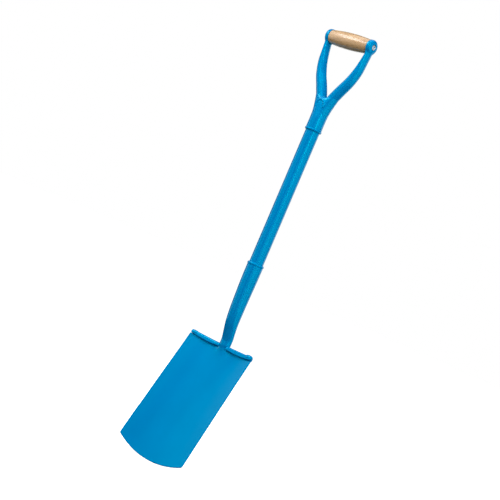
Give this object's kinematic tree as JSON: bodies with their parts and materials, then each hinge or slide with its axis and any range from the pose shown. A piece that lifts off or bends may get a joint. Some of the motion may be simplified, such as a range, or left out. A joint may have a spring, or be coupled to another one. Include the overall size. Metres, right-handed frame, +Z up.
{
  "type": "garden spade",
  "caption": "All-steel digging spade: dished treaded blade forged with its socket, painted tube shaft, Y-shaped yoke and turned wooden grip on a hollow rivet.",
  "frame": {"origin": "lowest point of the cutting edge, in the middle of the blade", "axes": "+Z up along the shaft, with the blade down. The dished front of the blade faces -Y. +X runs across the blade, to the right seen from the front."},
  "size_m": [0.1958, 0.1067, 1.0124],
  "materials": {
    "blue_paint": "smooth semi-gloss sky-blue enamel over forged and welded steel",
    "varnished_wood": "turned ash, fine straight grain along the grip, clear satin varnish",
    "rivet_steel": "bare zinc-plated steel, slightly dull"
  },
  "bodies": {
    "root": {"blade_head": "blue_paint", "tread_left": "blue_paint", "tread_right": "blue_paint", "tread_weld_left": "blue_paint", "tread_weld_right": "blue_paint", "shaft_tube": "blue_paint", "socket_weld": "blue_paint", "yoke_weld": "blue_paint", "yoke": "blue_paint", "crotch_weld": "blue_paint", "grip": "varnished_wood", "grip_rivet": "rivet_steel"}
  },
  "joints": []
}
